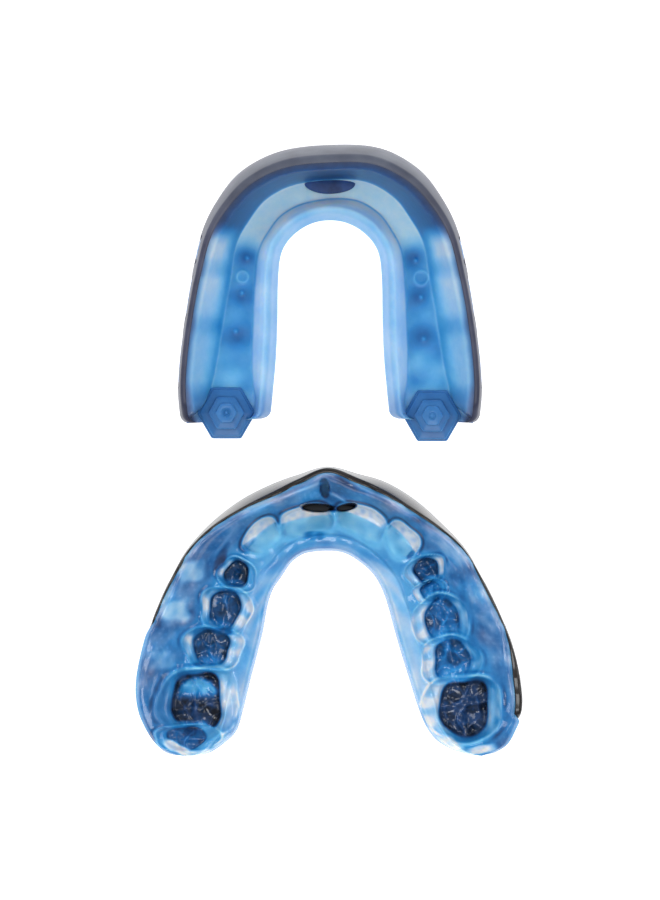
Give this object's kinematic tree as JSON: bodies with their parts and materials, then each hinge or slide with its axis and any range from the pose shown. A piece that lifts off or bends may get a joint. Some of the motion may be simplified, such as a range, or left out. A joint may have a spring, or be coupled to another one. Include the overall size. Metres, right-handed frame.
{
  "type": "mouthguard set",
  "caption": "Boil-and-bite mouthguard set: one guard as moulded with a plain channel, one fitted with tooth impressions, each a dark frame round a blue gel liner.",
  "frame": {"origin": "under the middle of the pair, on the surface that the bite pads rest on", "axes": "+Z up out of the tooth channels, +Y from the fitted guard towards the one as moulded (each guard's front faces +Y), +X to the right seen from above with +Y up"},
  "size_m": [0.0715, 0.1132, 0.0185],
  "materials": {
    "satin_blue_gel": "moulded, satin, translucent",
    "glossy_blue_gel": "heat-formed, glossy, translucent",
    "smoked_frame_elastomer": "moulded, satin, smoke tinted",
    "black_frame_elastomer": "heat-formed, glossy",
    "pad_rubber": "moulded, matt",
    "dark_insert_rubber": "moulded, satin",
    "boss_elastomer": "moulded, satin, smoke over blue"
  },
  "bodies": {
    "stock_guard": {"stock_outer_frame": "smoked_frame_elastomer", "stock_gel_liner": "satin_blue_gel", "stock_front_insert": "dark_insert_rubber", "stock_bite_pad_left": "pad_rubber", "stock_bite_pad_right": "pad_rubber", "stock_end_boss_left": "boss_elastomer", "stock_end_boss_right": "boss_elastomer"},
    "fitted_guard": {"fitted_outer_frame": "black_frame_elastomer", "fitted_gel_liner": "glossy_blue_gel", "fitted_front_insert": "dark_insert_rubber", "fitted_bite_pad_left": "pad_rubber", "fitted_bite_pad_right": "pad_rubber"}
  },
  "joints": [
    {"name": "fitted_guard_lift", "type": "slide", "parent": "stock_guard", "child": "fitted_guard", "axis": [0, 0, 1], "range_m": [0, 0.04]}
  ]
}
